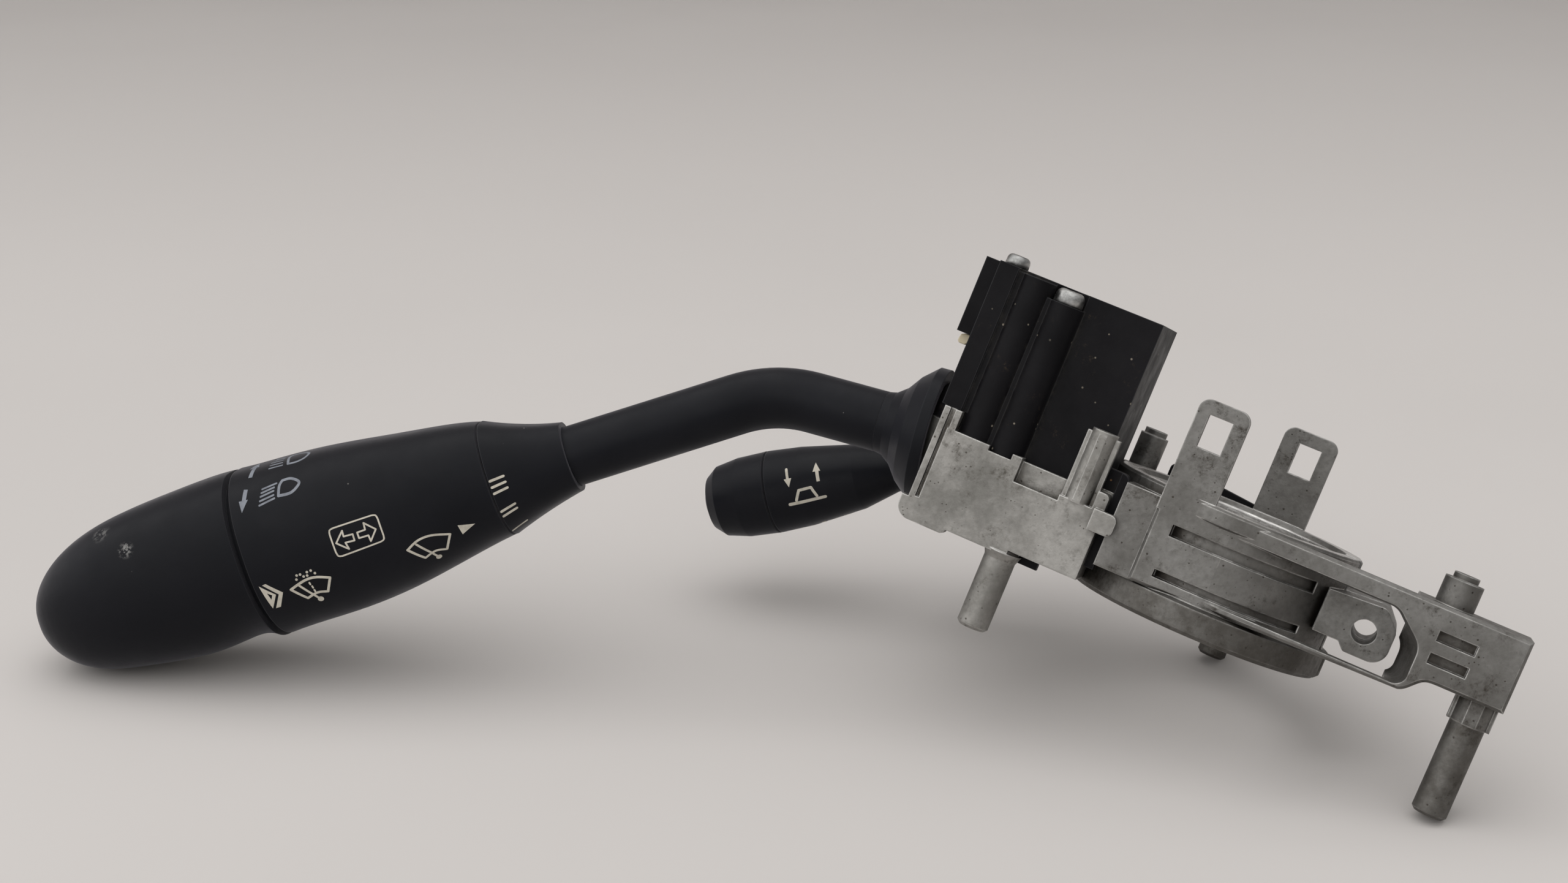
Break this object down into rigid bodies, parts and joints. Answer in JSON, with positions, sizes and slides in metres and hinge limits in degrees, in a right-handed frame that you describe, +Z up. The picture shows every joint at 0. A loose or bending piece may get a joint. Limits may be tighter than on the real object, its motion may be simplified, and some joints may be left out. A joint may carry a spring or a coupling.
{
  "type": "combination stalk switch",
  "caption": "Steering-column stalk switch: a dark cast column clamp with an arm and pins, a cast stalk base under a moulded switch housing, a long twisting handle and a small lever.",
  "frame": {"origin": "centre of the footprint on the bench the switch lies on", "axes": "+Z up with the switch resting on its handle tip, rear peg and arm pin; +X from the handle tip towards the arm; +Y away from the pictured side"},
  "size_m": [0.2926, 0.1142, 0.0916],
  "materials": {
    "casting_dark": "matte dark die casting",
    "casting_light": "as-cast grey",
    "screw_steel": "zinc plated",
    "rod_steel": "satin",
    "black_plastic": "moulded matte",
    "stalk_plastic": "fine grained",
    "cream_plastic": "moulded natural",
    "pin_brass": "tinned",
    "board": "lacquered"
  },
  "bodies": {
    "carrier": {"column_carrier": "casting_dark", "stalk_base": "casting_light", "base_screws": "screw_steel", "switch_housing": "black_plastic", "housing_screws": "screw_steel", "roof_screw": "screw_steel", "connector_shroud": "black_plastic", "connector_pins": "pin_brass", "connector_latch": "cream_plastic", "circuit_board": "board", "contact_plate": "board", "detent_track": "cream_plastic", "harness_guide": "black_plastic", "rear_switch_housing": "black_plastic", "rear_cover": "black_plastic", "rear_screws": "screw_steel"},
    "turn": {"turn_block": "cream_plastic", "beam_pin": "screw_steel", "contact_slider": "pin_brass"},
    "lever": {"lever_root": "rod_steel", "boot_bell": "stalk_plastic", "neck_tube": "stalk_plastic", "collar": "stalk_plastic", "handle_rod": "rod_steel", "rod_clip": "rod_steel", "click_ring": "cream_plastic"},
    "plunger": {"detent_plunger": "rod_steel"},
    "handle": {"handle_shell": "stalk_plastic", "handle_hub": "black_plastic", "wash_switch": "black_plastic"},
    "cap": {"end_cap": "stalk_plastic", "wash_plunger": "cream_plastic"},
    "adjust_frame": {"adjust_block": "cream_plastic", "adjust_pin": "screw_steel"},
    "adjust_lever": {"adjust_root": "rod_steel", "adjust_body": "stalk_plastic"},
    "knob": {"adjust_knob": "stalk_plastic"}
  },
  "joints": [
    {"name": "lever_turn", "type": "hinge", "parent": "carrier", "child": "turn", "pos_m": [0.05229, 0.00342, 0.0498], "axis": [0.3676, 0.2232, 0.9028], "range_deg": [-11, 11]},
    {"name": "lever_beam", "type": "hinge", "parent": "turn", "child": "lever", "pos_m": [0.05229, 0.00342, 0.0498], "axis": [0.2756, 0.901, -0.335], "range_deg": [-7, 7]},
    {"name": "detent_slide", "type": "slide", "parent": "lever", "child": "plunger", "axis": [-0.9432, 0.2855, 0.1699], "range_m": [0, 0.0012], "stiffness_N_per_m": 200, "springref_m": -0.001},
    {"name": "wiper_twist", "type": "hinge", "parent": "lever", "child": "handle", "pos_m": [-0.03488, 0.01008, 0.04644], "axis": [-0.9445, -0.0152, -0.3281], "range_deg": [-20, 60]},
    {"name": "wash_push", "type": "slide", "parent": "handle", "child": "cap", "axis": [0.9445, 0.0152, 0.3281], "range_m": [0, 0.0012], "stiffness_N_per_m": 1000, "springref_m": -0.004},
    {"name": "adjust_turn", "type": "hinge", "parent": "carrier", "child": "adjust_frame", "pos_m": [0.05745, 0.03667, 0.03871], "axis": [0.3676, 0.2232, 0.9028], "range_deg": [-6, 6], "stiffness_Nm_per_rad": 1},
    {"name": "adjust_tilt", "type": "hinge", "parent": "adjust_frame", "child": "adjust_lever", "pos_m": [0.05745, 0.03667, 0.03871], "axis": [0.2756, 0.901, -0.335], "range_deg": [-6, 6], "stiffness_Nm_per_rad": 1},
    {"name": "adjust_dial", "type": "hinge", "parent": "adjust_lever", "child": "knob", "pos_m": [0.0007, 0.04817, 0.02296], "axis": [-0.9457, 0.1917, -0.2624], "range_deg": [0, 90]}
  ]
}
